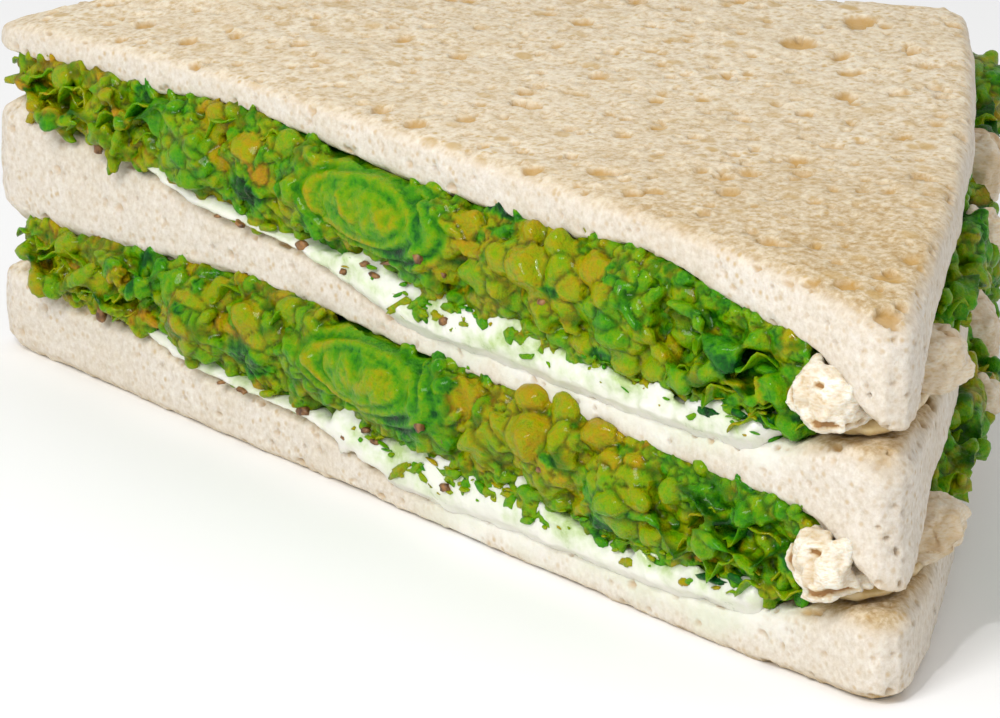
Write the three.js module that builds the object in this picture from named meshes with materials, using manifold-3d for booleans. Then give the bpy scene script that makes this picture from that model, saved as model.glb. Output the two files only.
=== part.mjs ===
// Chicken and avocado sandwich: a crustless double-decker cut from corner to corner.
// Three slices of white bread hold two layers of crushed avocado and leaf, each on mayonnaise,
// with pieces of chicken showing at the sides.
// Millimetres, +Z up. The long cut face looks along -Y, the near tip points along +X,
// and the origin is on the flat underside, at the middle of the wedge's length and depth.
import * as THREE from 'three';
import { mergeVertices } from 'three/addons/utils/BufferGeometryUtils.js';
import Module from 'manifold-3d';

const wasm = await Module();
wasm.setup();

// Plan of the wedge: half of a crustless slice, whose right angle is the back corner
const RIGHT_LEG = 100;
const LEFT_LEG = 107;
const TIP_RADIUS = 3;
const BACK_RADIUS = 4;
const LEG_BULGE = 2.3;
const CUT_LENGTH = Math.hypot(RIGHT_LEG, LEFT_LEG);
const DEPTH = (RIGHT_LEG * LEFT_LEG) / CUT_LENGTH;
const INRADIUS = (RIGHT_LEG + LEFT_LEG - CUT_LENGTH) / 2;
const CUT_Y = -DEPTH / 2;
const NEAR_TIP = new THREE.Vector2(CUT_LENGTH / 2, CUT_Y);
const LEFT_TIP = new THREE.Vector2(-CUT_LENGTH / 2, CUT_Y);
const BACK = new THREE.Vector2(CUT_LENGTH / 2 - RIGHT_LEG ** 2 / CUT_LENGTH, -CUT_Y);
const CENTRE = new THREE.Vector2(NEAR_TIP.x - (RIGHT_LEG + CUT_LENGTH - LEFT_LEG) / 2, CUT_Y + INRADIUS);

// Steps along the outline
const CUT_STEPS = 26;
const LEG_STEPS = 8;
const CORNER_STEPS = 3;

// Heights along the cut face, as [x, z], and the heights that they settle to behind it
const CROWN = [[-75, 35.6], [-50, 38.2], [-27, 39.7], [10, 40.3], [50, 40.3], [64, 39.2], [73, 37.6]];
const CROWN_INSIDE = 40.7;
const ROOF = [[-75, 32.4], [-60, 33.4], [-42, 34.3], [-27, 35.9], [0, 35], [24, 35.3], [36, 36.8], [50, 34],
  [61, 32.2], [66, 28.2], [69, 25.4], [73, 25]];
const ROOF_INSIDE = 34.6;
const FLOOR = [[-75, 29.8], [-66, 28.8], [-58, 27.1], [-41, 26.1], [-32, 24.6], [-14, 23.8], [0, 20.7],
  [14, 20.9], [37, 20.9], [51, 22], [61, 24.6], [66, 25.5], [69, 24.8], [73, 24.4]];
const FLOOR_INSIDE = 24.4;
const SPREAD = [[-75, 1], [-45, 1], [-32, 1.5], [-14, 1.2], [-2, 3.9], [20, 4.3], [31, 2.4], [47, 2.3],
  [57, 3.4], [66, 1.2], [73, 1]];
const SPREAD_INSIDE = 1.5;
const SETTLE = 22;
const TIP_SETTLE = 24;

// The lower layer repeats the upper one, this far down, under a middle slice with a straight lower edge
const LAYER_PITCH = 17.5;
const PITCH_FALL = 0.0175;
const LOWER_EDGE = 17.6;
const LOWER_EDGE_FALL = 0.015;

// Gap that touching pieces keep
const GAP = 0.3;

// Section of a slice's rim, as [way up from its underside to its top, distance in from the outline]
const SLICE_RIM = [[0, 8], [0, 1.1], [0.14, 0.1], [0.4, 0], [0.84, 0.15], [0.97, 1.1], [1, 3], [1, 11]];
const INNER_ROW = 2.5;
const CREASE_ROW = 3;
const CREASE_DEPTH = 0.6;
const CREASE_REACH = 13;

// Mayonnaise: how far it stands proud of the cut face, and where along it
const SPREAD_RIM = [[0, 11], [0, 3], [0, 0.3], [0.4, 0], [1, 0.6], [1, 9]];
const OOZE = 1.1;
const HELD_BACK = 2.2;
const LEG_HELD_BACK = 0.7;
const OOZE_FROM = -48;
const OOZE_TO = 60;
const OOZE_EASE = 10;
const TIP_REACH = 17;

// Filling: a core, with lumps, chunks and leaf edges that stand out of it
const CORE_RIM = [[-0.3, 9], [-0.3, 0], [1.3, 0], [1.3, 9]];
const CORE_INSET = 1.7;
const CORE_TIP_CLEAR = 4;
const CORE_TIP_REACH = 34;
const CUT_LUMPS = { from: -32, to: 36, step: 9.4, long: 5.7, deep: 3.7, out: -1.3 };
const LEG_LUMPS = { from: 0.02, to: 0.8, step: 0.16, long: 7.2, deep: 3.6, out: -1 };
const LUMP_FILL = 0.44;
const LUMP_RISE = [0.4, 0.6];
const LUMP_STRETCH = [0.8, 1.2];
const LUMP_ROUGHNESS = 0.1;
const CHUNK_TILT = 0.3;
const SWIRL = { x: -2, out: -0.8, rise: 0.62, size: [12, 4.4, 4.6], tilt: 0.09 };
const CHUNKS = [
  { x: 20, out: 0.4, rise: 0.68, size: [3.4, 2.9, 2.5] },
  { x: 26, out: 0, rise: 0.82, size: [2.6, 2.4, 1.9] },
  { x: 23, out: 0.1, rise: 0.36, size: [2.8, 2.4, 2] },
];
const LEAVES = [
  { side: 'cut', from: -69, to: -50, rise: 0.72, reach: 1.8 },
  { side: 'cut', from: -62, to: -44, rise: 0.3, reach: 2.4 },
  { side: 'cut', from: -48, to: -37, rise: 0.78, reach: 2.6 },
  { side: 'cut', from: 36, to: 56, rise: 0.35, reach: 2.6 },
  { side: 'cut', from: 40, to: 53, rise: 0.76, reach: 2.2 },
  { side: 'right', from: 0.02, to: 0.19, rise: 0.6, reach: 2.6 },
  { side: 'right', from: 0.31, to: 0.43, rise: 0.45, reach: 2.6 },
  { side: 'right', from: 0.54, to: 0.7, rise: 0.6, reach: 2.6 },
  { side: 'left', from: 0.08, to: 0.24, rise: 0.5, reach: 3 },
  { side: 'left', from: 0.48, to: 0.64, rise: 0.6, reach: 3.2 },
];
const LEAF_THICKNESS = 0.8;
const LEAF_TAPER = 0.35;
const LEAF_ROOT = 4;
const LEAF_ROWS = 2;
const RUFFLE = 1.5;
const RUFFLE_LENGTH = 10;
const RUFFLE_STEPS = 4;
const SEED = 7;

// Chicken: torn pieces in the sides of each layer
const CHICKEN = [
  { name: 'near', side: 'cut', along: 61.5, out: -1.6, rise: 0.5, size: [3.6, 4.2, 3.2], tilt: 0.2 },
  { name: 'right_back', side: 'right', along: 0.25, out: -1.6, rise: 0.5, size: [4.6, 4.6, 3.6], tilt: 0.1 },
  { name: 'right_strip', side: 'right', along: 0.48, out: -2, rise: 0.62, size: [3.4, 6, 1.8], tilt: -0.35 },
  { name: 'right_front', side: 'right', along: 0.8, out: -1.9, rise: 0.4, size: [4.2, 4.2, 3.1], tilt: -0.1 },
  { name: 'left_back', side: 'left', along: 0.35, out: -1.8, rise: 0.5, size: [5, 4.6, 3.2], tilt: 0.15 },
  { name: 'left_front', side: 'left', along: 0.75, out: -2, rise: 0.45, size: [4.2, 4.8, 2.8], tilt: -0.1 },
];
const BLOCKINESS = 0.62;

const COLOURS = { bread: '#e6d9bf', greens: '#7c9a26', mayonnaise: '#eef1e2', chicken: '#ecdcc0' };

// Small helpers
const lerp = THREE.MathUtils.lerp;
const smooth = (t) => THREE.MathUtils.smoothstep(t, 0, 1);

// 1 at either tip of the wedge, falling to 0 at a distance of reach
const nearTips = (point, reach) =>
  1 - smooth(Math.min(point.distanceTo(NEAR_TIP), point.distanceTo(LEFT_TIP)) / reach);

function randomFrom(seed) {
  let state = seed;
  return () => {
    state = (state * 1664525 + 1013904223) >>> 0;
    return state / 2 ** 32;
  };
}

function profile(knots) {
  const curve = new THREE.CubicInterpolant(knots.map((k) => k[0]), knots.map((k) => k[1]), 1);
  const first = knots[0][0];
  const last = knots[knots.length - 1][0];
  return (x) => curve.evaluate(THREE.MathUtils.clamp(x, first, last))[0];
}

// A surface between two layers: it follows its profile at the cut face and settles behind it
function surface(knots, inside) {
  const front = profile(knots);
  return (x, y) => {
    const settled = smooth((y - CUT_Y) / SETTLE) * (1 - nearTips(new THREE.Vector2(x, y), TIP_SETTLE));
    return lerp(front(x), inside, settled);
  };
}

const lowered = (height) => (x, y) => height(x, y) - LAYER_PITCH + PITCH_FALL * x;
const crown = surface(CROWN, CROWN_INSIDE);
const roof = surface(ROOF, ROOF_INSIDE);
const floor = surface(FLOOR, FLOOR_INSIDE);
const spread = surface(SPREAD, SPREAD_INSIDE);
const lowerRoof = (x, y) => Math.min(lowered(roof)(x, y), LOWER_EDGE - LOWER_EDGE_FALL * x);
const lowerFloor = lowered(floor);
const underside = () => 0;

// The wedge's outline, anticlockwise from the left tip, its two legs bulging slightly
function cornerArc(before, corner, after, radius) {
  const back = before.clone().sub(corner).normalize();
  const on = after.clone().sub(corner).normalize();
  const half = back.angleTo(on) / 2;
  const centre = back.clone().add(on).normalize().multiplyScalar(radius / Math.sin(half)).add(corner);
  const start = back.clone().multiplyScalar(radius / Math.tan(half)).add(corner);
  const points = [];
  for (let i = 0; i <= CORNER_STEPS; i++) {
    points.push(start.clone().rotateAround(centre, ((Math.PI - 2 * half) * i) / CORNER_STEPS));
  }
  return points;
}

function between(from, to, steps, bulge) {
  const out = new THREE.Vector2(to.y - from.y, from.x - to.x).normalize();
  const points = [];
  for (let i = 1; i < steps; i++) {
    const t = i / steps;
    points.push(from.clone().lerp(to, t).addScaledVector(out, bulge * 4 * t * (1 - t)));
  }
  return points;
}

function wedgeOutline() {
  const left = cornerArc(BACK, LEFT_TIP, NEAR_TIP, TIP_RADIUS);
  const near = cornerArc(LEFT_TIP, NEAR_TIP, BACK, TIP_RADIUS);
  const back = cornerArc(NEAR_TIP, BACK, LEFT_TIP, BACK_RADIUS);
  const last = CORNER_STEPS;
  return [
    ...left, ...between(left[last], near[0], CUT_STEPS, 0),
    ...near, ...between(near[last], back[0], LEG_STEPS, LEG_BULGE),
    ...back, ...between(back[last], left[0], LEG_STEPS, LEG_BULGE),
  ];
}

const OUTLINE = wedgeOutline();

const onCut = (point) => point.y < CUT_Y + 1e-6;

// Solids
function solidFrom(positions, index) {
  const vertProperties = new Float32Array(positions);
  return new wasm.Manifold(new wasm.Mesh({ numProp: 3, vertProperties, triVerts: new Uint32Array(index) }));
}

// A closed pillow between two surfaces. Its rim is a list of [way up, distance in from the outline].
// extra(point, row) sets the rows nearest the outline further in, and grow swells the whole.
// The faces above and below split alike, so that one pillow lies flush on another.
function pillow(bottom, top, rim, extra = () => 0, grow = 0) {
  const count = OUTLINE.length;
  const positions = [];
  const index = [];
  rim.forEach(([way, inset], row) => {
    for (const point of OUTLINE) {
      const set = inset < INNER_ROW ? inset + extra(point, row) : inset;
      const keep = 1 - (set - grow) / INRADIUS;
      const x = lerp(CENTRE.x, point.x, keep);
      const y = lerp(CENTRE.y, point.y, keep);
      positions.push(x, y, lerp(bottom(x, y), top(x, y), way) + (way < 0.5 ? -grow : grow));
    }
  });
  for (let row = 0; row + 1 < rim.length; row++) {
    for (let i = 0; i < count; i++) {
      const a = row * count + i;
      const b = row * count + ((i + 1) % count);
      const c = b + count;
      const d = a + count;
      if (rim[row + 1][0] < 0.5) index.push(a, b, d, b, c, d);
      else index.push(a, b, c, a, c, d);
    }
  }
  const below = rim.length * count;
  const lastRow = below - count;
  for (const [way, swell] of [[rim[0][0], -grow], [rim[rim.length - 1][0], grow]]) {
    const low = bottom(CENTRE.x, CENTRE.y);
    positions.push(CENTRE.x, CENTRE.y, lerp(low, top(CENTRE.x, CENTRE.y), way) + swell);
  }
  for (let i = 0; i < count; i++) {
    const next = (i + 1) % count;
    index.push(next, i, below, lastRow + i, lastRow + next, below + 1);
  }
  return solidFrom(positions, index);
}

const roundBall = () => new THREE.IcosahedronGeometry(1, 1);
const smoothBall = () => new THREE.IcosahedronGeometry(1, 2);

// An uneven ball: size is its half length along the side, half depth and half height.
// A blockiness under 1 flattens its sides.
function ball(place, size, geometry, roughness, random, blockiness = 1, grow = 0) {
  geometry.deleteAttribute('normal');
  geometry.deleteAttribute('uv');
  const merged = mergeVertices(geometry, 1e-4);
  const position = merged.attributes.position;
  for (let i = 0; i < position.array.length; i += 3) {
    const swell = 1 + roughness * (2 * random() - 1);
    for (let k = i; k < i + 3; k++) {
      const v = position.array[k];
      position.array[k] = Math.sign(v) * Math.abs(v) ** blockiness * swell;
    }
  }
  merged.scale(...size.map((s) => s + grow)).rotateY(place.tilt).rotateZ(place.turn);
  merged.translate(place.x, place.y, place.z);
  return solidFrom(position.array, merged.index.array);
}

// A point on a side: along is x on the cut face, or the way from the back corner to a leg's tip
function sidePoint(side, along, out) {
  if (side === 'cut') return new THREE.Vector2(along, CUT_Y - out);
  const tip = side === 'right' ? NEAR_TIP : LEFT_TIP;
  const way = tip.clone().sub(BACK);
  const outward = new THREE.Vector2(-way.y, way.x).normalize();
  if (side === 'left') outward.negate();
  const bulge = LEG_BULGE * 4 * along * (1 - along);
  return BACK.clone().addScaledVector(way, along).addScaledVector(outward, bulge + out);
}

function sideTurn(side) {
  const tip = side === 'right' ? NEAR_TIP : LEFT_TIP;
  return side === 'cut' ? 0 : Math.atan2(tip.y - BACK.y, tip.x - BACK.x);
}

function placeIn(layer, side, along, out, rise, tilt = 0) {
  const { x, y } = sidePoint(side, along, out);
  const low = layer.floor(x, y) + spread(x, y);
  const room = layer.roof(x, y) - low;
  return { x, y, z: low + rise * room, room, turn: sideTurn(side), tilt };
}

// A ruffled leaf edge: a thin wavy sheet rooted in the filling
function leaf(layer, { side, from, to, rise, reach }, random) {
  const length = sidePoint(side, from, 0).distanceTo(sidePoint(side, to, 0));
  const steps = Math.max(RUFFLE_STEPS, Math.round((length / RUFFLE_LENGTH) * RUFFLE_STEPS));
  const phase = random() * Math.PI * 2;
  const under = [];
  const over = [];
  for (let i = 0; i <= steps; i++) {
    const wave = Math.sin(phase + (2 * Math.PI * length * i) / (steps * RUFFLE_LENGTH));
    const rim = reach * Math.sin((Math.PI * (i + 1)) / (steps + 2)) ** 0.5 * (0.8 + 0.4 * random());
    for (let j = 0; j <= LEAF_ROWS; j++) {
      const way = j / LEAF_ROWS;
      const { x, y, z } = placeIn(layer, side, lerp(from, to, i / steps), lerp(-LEAF_ROOT, rim, way), rise);
      const half = (LEAF_THICKNESS / 2) * (1 - LEAF_TAPER * way);
      under.push(x, y, z + RUFFLE * wave * way - half);
      over.push(x, y, z + RUFFLE * wave * way + half);
    }
  }
  return sheet(under, over, steps, side === 'right');
}

// A closed sheet from its two faces, each a grid of steps by LEAF_ROWS, both split into triangles alike
function sheet(under, over, steps, mirrored) {
  const across = LEAF_ROWS + 1;
  const shift = (steps + 1) * across;
  const index = [];
  const add = (a, b, c) => index.push(a, mirrored ? c : b, mirrored ? b : c);
  const wall = (a, b) => {
    add(a, b, b + shift);
    add(a, b + shift, a + shift);
  };
  for (let i = 0; i < steps; i++) {
    const root = i * across;
    for (let a = root; a < root + LEAF_ROWS; a++) {
      const b = a + across;
      add(a, b, b + 1);
      add(a, b + 1, a + 1);
      add(a + shift, b + 1 + shift, b + shift);
      add(a + shift, a + 1 + shift, b + 1 + shift);
    }
    wall(root + across, root);
    wall(root + LEAF_ROWS, root + LEAF_ROWS + across);
  }
  for (let j = 0; j < LEAF_ROWS; j++) {
    wall(j, j + 1);
    wall(steps * across + j + 1, steps * across + j);
  }
  return solidFrom([...under, ...over], index);
}

// Keeps one body and drops loose scraps
function cutBy(solid, cutters) {
  const bodies = cutters.reduce((rest, cutter) => rest.subtract(cutter), solid).decompose();
  return bodies.reduce((best, body) => (body.volume() > best.volume() ? body : best));
}

const group = new THREE.Group();
const materials = Object.fromEntries(Object.entries(COLOURS).map(([name, color]) =>
  [name, new THREE.MeshStandardMaterial({ color, roughness: 0.8, metalness: 0 })]));

function add(name, solid, material) {
  const { vertProperties, triVerts } = solid.getMesh();
  const geometry = new THREE.BufferGeometry();
  geometry.setAttribute('position', new THREE.BufferAttribute(vertProperties, 3));
  geometry.setIndex(new THREE.BufferAttribute(triVerts, 1));
  geometry.computeVertexNormals();
  const mesh = new THREE.Mesh(geometry, materials[material]);
  mesh.name = name;
  group.add(mesh);
}

// Slices, each also in a swollen copy that its neighbours are cut back from
function slice(bottom, top, depth) {
  const crease = (point, row) =>
    row === CREASE_ROW ? depth * Math.exp(-((point.distanceTo(NEAR_TIP) / CREASE_REACH) ** 2)) : 0;
  return {
    solid: pillow(bottom, top, SLICE_RIM, crease),
    cutter: pillow(bottom, top, SLICE_RIM, crease, GAP),
  };
}

function mayonnaise(layer) {
  const set = (point) => {
    if (!onCut(point)) return lerp(LEG_HELD_BACK, HELD_BACK, nearTips(point, TIP_REACH));
    const ooze = smooth((point.x - OOZE_FROM) / OOZE_EASE) * smooth((OOZE_TO - point.x) / OOZE_EASE);
    return lerp(HELD_BACK, -OOZE, ooze);
  };
  const top = (x, y) => layer.floor(x, y) + spread(x, y);
  const bottom = (x, y) => layer.floor(x, y) + GAP;
  return { solid: pillow(bottom, top, SPREAD_RIM, set), cutter: pillow(bottom, top, SPREAD_RIM, set, GAP) };
}

function chicken(layer, mayo) {
  return CHICKEN.map((piece, i) => {
    const place = placeIn(layer, piece.side, piece.along, piece.out, piece.rise, piece.tilt);
    const torn = (grow) =>
      ball(place, piece.size, roundBall(), LUMP_ROUGHNESS, randomFrom(SEED + i), BLOCKINESS, grow);
    const solid = cutBy(torn(0), [layer.below.cutter, layer.above.cutter, mayo.cutter]);
    return { name: piece.name, solid, cutter: torn(GAP) };
  });
}

function lumpsAlong(layer, side, { from, to, step, long, deep, out }, random) {
  const lumps = [];
  const inLeaf = (along) => LEAVES.some((l) => l.side === side && along > l.from && along < l.to);
  for (let along = from; along <= to; along += step) {
    if (inLeaf(along)) continue;
    const place = placeIn(layer, side, along, out + random(), lerp(...LUMP_RISE, random()), random() - 0.5);
    const size = [long * lerp(...LUMP_STRETCH, random()), deep, LUMP_FILL * place.room];
    lumps.push(ball(place, size, roundBall(), LUMP_ROUGHNESS, random));
  }
  return lumps;
}

function greens(layer, mayo, pieces) {
  const random = randomFrom(SEED);
  const set = (point) => CORE_INSET + CORE_TIP_CLEAR * nearTips(point, CORE_TIP_REACH);
  const top = (x, y) => layer.floor(x, y) + spread(x, y);
  const swirl = placeIn(layer, 'cut', SWIRL.x, SWIRL.out, SWIRL.rise, SWIRL.tilt);
  const parts = [
    pillow(top, layer.roof, CORE_RIM, set),
    ball(swirl, SWIRL.size, smoothBall(), 0, random),
    ...lumpsAlong(layer, 'cut', CUT_LUMPS, random),
    ...lumpsAlong(layer, 'right', LEG_LUMPS, random),
    ...lumpsAlong(layer, 'left', LEG_LUMPS, random),
    ...CHUNKS.map(({ x, out, rise, size }) =>
      ball(placeIn(layer, 'cut', x, out, rise, CHUNK_TILT), size, roundBall(), LUMP_ROUGHNESS, random)),
    ...LEAVES.map((shape) => leaf(layer, shape, random)),
  ];
  const heap = parts.reduce((whole, part) => whole.add(part));
  return cutBy(heap, [layer.below.cutter, layer.above.cutter, mayo.cutter, ...pieces.map((p) => p.cutter)]);
}

const breadTop = slice(roof, crown, 0);
const breadMiddle = slice(lowerRoof, floor, CREASE_DEPTH);
const breadBottom = slice(underside, lowerFloor, 0);
add('bread_top', breadTop.solid, 'bread');
add('bread_middle', breadMiddle.solid, 'bread');
add('bread_bottom', breadBottom.solid, 'bread');

const layers = [
  { name: 'upper', floor, roof, below: breadMiddle, above: breadTop },
  { name: 'lower', floor: lowerFloor, roof: lowerRoof, below: breadBottom, above: breadMiddle },
];
for (const layer of layers) {
  const mayo = mayonnaise(layer);
  const pieces = chicken(layer, mayo);
  add(`mayonnaise_${layer.name}`, mayo.solid, 'mayonnaise');
  add(`greens_${layer.name}`, greens(layer, mayo, pieces), 'greens');
  for (const piece of pieces) add(`chicken_${layer.name}_${piece.name}`, piece.solid, 'chicken');
}

export default group;
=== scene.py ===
"""Chicken and avocado sandwich: a crustless double-decker wedge of white bread.

The frame's solids give each piece its form. Here each is remeshed finely and gets its real surface.
Shapes are in millimetres until new_piece or place turns them into metres.
"""
import math

import bmesh
import bpy
import numpy as np
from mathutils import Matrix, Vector
from mathutils.bvhtree import BVHTree


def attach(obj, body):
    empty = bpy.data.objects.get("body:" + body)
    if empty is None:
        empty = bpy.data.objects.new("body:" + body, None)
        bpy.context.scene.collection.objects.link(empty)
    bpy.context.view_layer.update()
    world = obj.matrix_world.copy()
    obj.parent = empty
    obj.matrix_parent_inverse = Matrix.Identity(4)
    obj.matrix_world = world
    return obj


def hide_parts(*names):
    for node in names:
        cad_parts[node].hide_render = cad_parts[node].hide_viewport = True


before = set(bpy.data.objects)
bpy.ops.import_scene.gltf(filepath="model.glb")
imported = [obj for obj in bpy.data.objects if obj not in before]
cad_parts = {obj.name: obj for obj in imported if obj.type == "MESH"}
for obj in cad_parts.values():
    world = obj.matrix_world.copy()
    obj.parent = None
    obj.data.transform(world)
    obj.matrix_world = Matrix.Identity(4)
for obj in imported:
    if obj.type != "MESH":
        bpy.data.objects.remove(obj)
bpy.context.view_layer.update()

MM = 0.001
SEED = 11

# Plan of the wedge, as in the solids: the cut face lies on CUT_Y, and two legs run back to the square corner.
# Heights are looked up within CUT_ENDS and from LEG_START on, RIM_DEPTH in from the side.
RIGHT_LEG, LEFT_LEG = 100, 107
CUT_LENGTH = math.hypot(RIGHT_LEG, LEFT_LEG)
CUT_Y = -RIGHT_LEG * LEFT_LEG / CUT_LENGTH / 2
NEAR_TIP = np.array([CUT_LENGTH / 2, CUT_Y])
LEFT_TIP = np.array([-CUT_LENGTH / 2, CUT_Y])
BACK = np.array([CUT_LENGTH / 2 - RIGHT_LEG ** 2 / CUT_LENGTH, -CUT_Y])
LEG_BULGE = 2.3
CUT_ENDS = (-66, 65)
LEG_START = 0.05
RIM_DEPTH = 3.0

# Length of the rays that find the solids, and the reach of a skin that they miss
FAR = 100
MISSED = -9.0

# Slices from the top down, and the layers of filling with the slices that hold them
SLICES = ("bread_top", "bread_middle", "bread_bottom")
LAYERS = {"upper": ("bread_middle", "bread_top"), "lower": ("bread_bottom", "bread_middle")}

# Fineness of the remeshed pieces
BREAD_VOXEL = 0.40
GREENS_VOXEL = 0.36
MAYO_VOXEL = 0.45
CHICKEN_VOXEL = 0.30
CHICKEN_LUMPS = 42

# Shares of their triangles that the finished pieces keep
BREAD_KEPT = 0.55
GREENS_KEPT = 0.56
MAYO_KEPT = 0.4

# Open crumb: populations of bubbles as (spacing, share that exist, smallest radius, largest radius),
# those of the broad faces and the finer ones of the sides
BUBBLES = ((6.5, 0.35, 0.8, 1.9), (2.8, 0.55, 0.5, 1.05), (1.6, 0.70, 0.3, 0.6))
PORES = ((4.2, 0.25, 0.4, 0.8), (1.4, 0.60, 0.25, 0.48))
BUBBLE_STRETCH = np.array([1.3, 1.15, 0.8])
DEEPEST_PIT = 0.9

# Distance from the near tip over which the browner colour of the bread fades
BROWN_REACH = 75

# Avocado chunks on the cut face, as (x, height over the slice below, half sizes, tilt, tone).
# Tones run from dark leaf at 0 to ripe amber flesh at 1.
CHUNKS = (
    (21.8, 11.0, (2.7, 1.9, 2.5), 0.3, 0.76), (20.2, 14.0, (2.2, 1.7, 1.5), 0.1, 0.80),
    (25.6, 11.8, (1.2, 1.5, 2.3), -0.5, 0.66), (17.6, 10.9, (2.0, 1.3, 1.4), -0.5, 0.72),
    (25.2, 14.2, (1.9, 1.4, 1.9), 0.2, 0.72), (30.2, 13.0, (2.4, 1.6, 2.0), -0.3, 0.80),
    (32.8, 11.4, (1.9, 1.5, 1.1), -0.2, 0.77), (37.2, 8.7, (2.2, 1.3, 1.0), -0.1, 0.70),
    (34.0, 7.6, (2.6, 1.2, 1.2), 0.15, 0.56), (10.8, 12.2, (2.6, 1.2, 2.2), 0.2, 0.80),
    (13.5, 8.2, (2.4, 1.2, 1.5), 0.35, 0.62), (28.6, 8.4, (2.4, 1.3, 1.5), 0.1, 0.58),
    (16.5, 5.0, (1.6, 1.0, 0.6), 0.2, 0.52), (20.5, 4.5, (2.2, 1.1, 0.8), 0.1, 0.50),
    (24.5, 4.7, (2.2, 1.2, 1.0), -0.15, 0.56), (28.0, 5.0, (2.1, 1.3, 1.3), 0.1, 0.72),
    (31.4, 4.6, (2.2, 1.2, 1.2), 0.2, 0.46), (34.8, 5.0, (2.0, 1.2, 1.3), -0.2, 0.60),
    (38.2, 5.0, (1.8, 1.2, 1.4), 0.2, 0.64), (41.6, 4.4, (1.8, 1.2, 1.2), 0.1, 0.54),
    (-22.5, 9.2, (2.0, 1.2, 1.6), -0.2, 0.76), (-26.6, 7.0, (2.1, 1.3, 1.1), 0.1, 0.86),
    (-29.0, 10.0, (2.2, 1.3, 2.0), 0.3, 0.74), (-35.5, 8.2, (1.7, 1.2, 2.4), 0.1, 0.50),
    (-17.0, 10.6, (2.3, 1.4, 1.8), 0.2, 0.66), (-38.6, 7.4, (1.6, 1.2, 2.6), 0.1, 0.36),
    (-49.0, 4.4, (2.0, 1.2, 1.6), 0.2, 0.70), (-54.5, 6.4, (1.7, 1.2, 1.5), 0.3, 0.66),
)

# Usual tone along the cut face, as (x, tone), and on the legs, and the darker tone between lumps, which is
# painted shade
TONES = ((-66, 0.78), (-60, 0.72), (-46, 0.65), (-38, 0.56), (-28, 0.60), (-16, 0.58), (10, 0.60),
         (20, 0.64), (33, 0.60), (42, 0.54), (56, 0.50))
LEG_TONE = 0.52
GAP_SHADE_TONE = 0.36

# Shares of the strewn lumps that are amber, and that are drawn out into shreds
AMBER_SHARE = 0.09
AMBER_TONE = 0.2
SHRED_SHARE = 0.3
SHRED = np.array([1.8, 0.8, 0.5])

# Depth from which holes of the heap are closed, and where along and up they are looked for
BACKING_DEPTH = 1.6
BACKING_ALONG = np.arange(-60, 57, 2.2)
BACKING_RISE = np.arange(0.12, 1.0, 0.12)

# Numbers of smears and flecks on the mayonnaise, and of its own lumps
SMEARS = 95
FLECKS = 50
LIP_LUMPS = 90
BODY_LUMPS = 40

# Where along the cut face mayonnaise fills the slice's rounded edge, soaks the crumb, and turns ochre
FILLET = np.arange(-2, 51, 0.8)
SOAKED = (6, 58)
OCHRE = (54, 58)

# Chips of avocado and leaf lying in the mayonnaise, as (x, height, half sizes, tilt, tone)
CHIPS = (
    (13.2, 3.2, (1.1, 0.4, 0.6), -0.4, 0.40), (0.8, 1.9, (2.3, 0.4, 0.55), 0.55, 0.70),
    (3.2, 2.7, (1.5, 0.4, 0.4), 0.7, 0.56), (4.6, 2.2, (0.9, 0.4, 0.4), -0.2, 0.60),
    (8.6, 3.6, (1.6, 0.5, 0.6), 0.2, 0.52), (17.4, 2.6, (1.3, 0.4, 0.8), 0.9, 0.45),
    (10.8, 2.4, (0.8, 0.4, 0.3), 0.1, 0.66), (20.4, 1.6, (1.2, 0.4, 0.4), 0.3, 0.48),
    (-20.4, 1.2, (1.5, 0.5, 0.4), 0.2, 0.66), (47.0, 2.4, (2.0, 0.5, 0.5), 0.1, 0.12),
    (50.5, 2.9, (1.3, 0.4, 0.4), -0.1, 0.16), (44.0, 1.4, (0.7, 0.4, 0.4), 0.4, 0.50),
)

# Spots that are darker or lighter than the rest of the avocado: tone of its own, and painted shade in hollows
# and creases, as (x, height, half sizes, change of tone)
TONE_AND_SHADE_SPOTS = (
    (-23.0, 4.4, (3.4, 2.2), -0.42), (-41.5, 7.6, (1.6, 3.0), -0.30), (50.2, 8.0, (2.0, 1.4), -0.26),
    (47.0, 10.5, (4.0, 1.6), -0.10), (1.5, 11.6, (3.2, 1.8), 0.16), (3.0, 7.0, (3.6, 2.0), -0.22),
    (-3.5, 10.2, (3.2, 1.6), 0.14), (15.5, 14.8, (3.6, 0.7), -0.40), (31.0, 4.4, (2.6, 0.8), -0.35),
    (25.0, 9.6, (1.4, 0.7), -0.45),
)

# Avocado strewn over the sides, as (side, count, stretch, rise between the slices, least reach, size)
STREWN = (
    ("cut", 430, (-62, 57), (0.14, 0.96), (-0.7, 0.3), 1.35),
    ("cut", 200, (-63, 59), (0.88, 1.01), (-0.6, 0.4), 1.25),
    ("cut", 110, (-60, 59), (0.96, 1.05), (-0.4, 0.3), 1.05),
    ("cut", 60, (-61, -15), (0.06, 0.3), (0.0, 0.8), 1.1),
    ("cut", 45, (-14, 24), (0.30, 0.44), (-0.4, 0.3), 1.1),
    ("right", 180, (0.02, 0.74), (0.15, 0.95), (-1.6, 0.0), 1.4),
    ("left", 200, (0.02, 0.88), (0.15, 0.95), (-1.6, 0.0), 1.4),
    ("right", 34, (-0.03, 0.06), (0.15, 0.95), (-6.0, -4.0), 1.4),
    ("left", 34, (-0.03, 0.06), (0.15, 0.95), (-6.0, -4.0), 1.4),
)

# Smooth swirl of avocado, as x, height, half length and half height, and the part of it kept free of lumps
SWIRL = (-2.0, 10.6, 12.0, 4.6)
SWIRL_FREE = 0.88

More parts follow.
